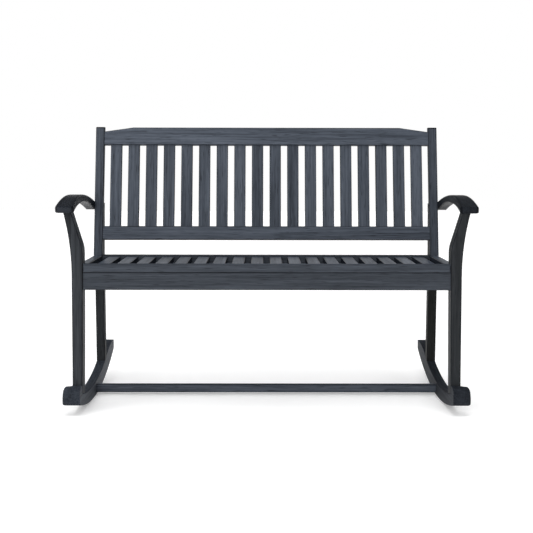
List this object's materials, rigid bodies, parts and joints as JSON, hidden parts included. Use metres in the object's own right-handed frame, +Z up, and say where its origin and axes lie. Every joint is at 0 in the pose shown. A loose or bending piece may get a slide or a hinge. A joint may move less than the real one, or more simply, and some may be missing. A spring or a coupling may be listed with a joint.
{
  "type": "rocking bench",
  "caption": "Wooden rocking bench with curved runners, flared front legs, arched arms, a dished slatted seat and a reclined slatted back",
  "frame": {"origin": "on the floor, under the middle of the bench's outer box, at the level where the runners touch the floor", "axes": "+Z up, the sitter faces -Y, X runs along the seat and the back"},
  "size_m": [1.241, 0.808, 0.869],
  "materials": {
    "stained_wood": "dark blue-grey stain, satin, fine grain showing",
    "steel": "plain zinc-plated steel, dull"
  },
  "bodies": {
    "root": {"rocker_left": "stained_wood", "rocker_right": "stained_wood", "front_leg_left": "stained_wood", "front_leg_right": "stained_wood", "rear_leg_left": "stained_wood", "rear_leg_right": "stained_wood", "arm_left": "stained_wood", "arm_right": "stained_wood", "seat_side_rail_left": "stained_wood", "seat_side_rail_right": "stained_wood", "back_stile_left": "stained_wood", "back_stile_right": "stained_wood", "front_apron": "stained_wood", "rear_apron": "stained_wood", "foot_stretcher": "stained_wood", "seat_front_rail": "stained_wood", "seat_rear_rail": "stained_wood", "seat_centre_bearer": "stained_wood", "crest_rail": "stained_wood", "lower_back_rail": "stained_wood", "seat_slat_01": "stained_wood", "seat_slat_02": "stained_wood", "seat_slat_03": "stained_wood", "seat_slat_04": "stained_wood", "seat_slat_05": "stained_wood", "seat_slat_06": "stained_wood", "seat_slat_07": "stained_wood", "seat_slat_08": "stained_wood", "seat_slat_09": "stained_wood", "seat_slat_10": "stained_wood", "seat_slat_11": "stained_wood", "seat_slat_12": "stained_wood", "seat_slat_13": "stained_wood", "seat_slat_14": "stained_wood", "seat_slat_15": "stained_wood", "seat_slat_16": "stained_wood", "seat_slat_17": "stained_wood", "seat_slat_18": "stained_wood", "back_slat_01": "stained_wood", "back_slat_02": "stained_wood", "back_slat_03": "stained_wood", "back_slat_04": "stained_wood", "back_slat_05": "stained_wood", "back_slat_06": "stained_wood", "back_slat_07": "stained_wood", "back_slat_08": "stained_wood", "back_slat_09": "stained_wood", "back_slat_10": "stained_wood", "back_slat_11": "stained_wood", "back_slat_12": "stained_wood", "back_slat_13": "stained_wood", "back_slat_14": "stained_wood", "back_slat_15": "stained_wood", "back_slat_16": "stained_wood", "back_slat_17": "stained_wood", "back_slat_18": "stained_wood", "frame_bolts": "steel", "barrel_nuts": "steel", "frame_screws": "steel", "slat_screws": "steel"}
  },
  "joints": []
}
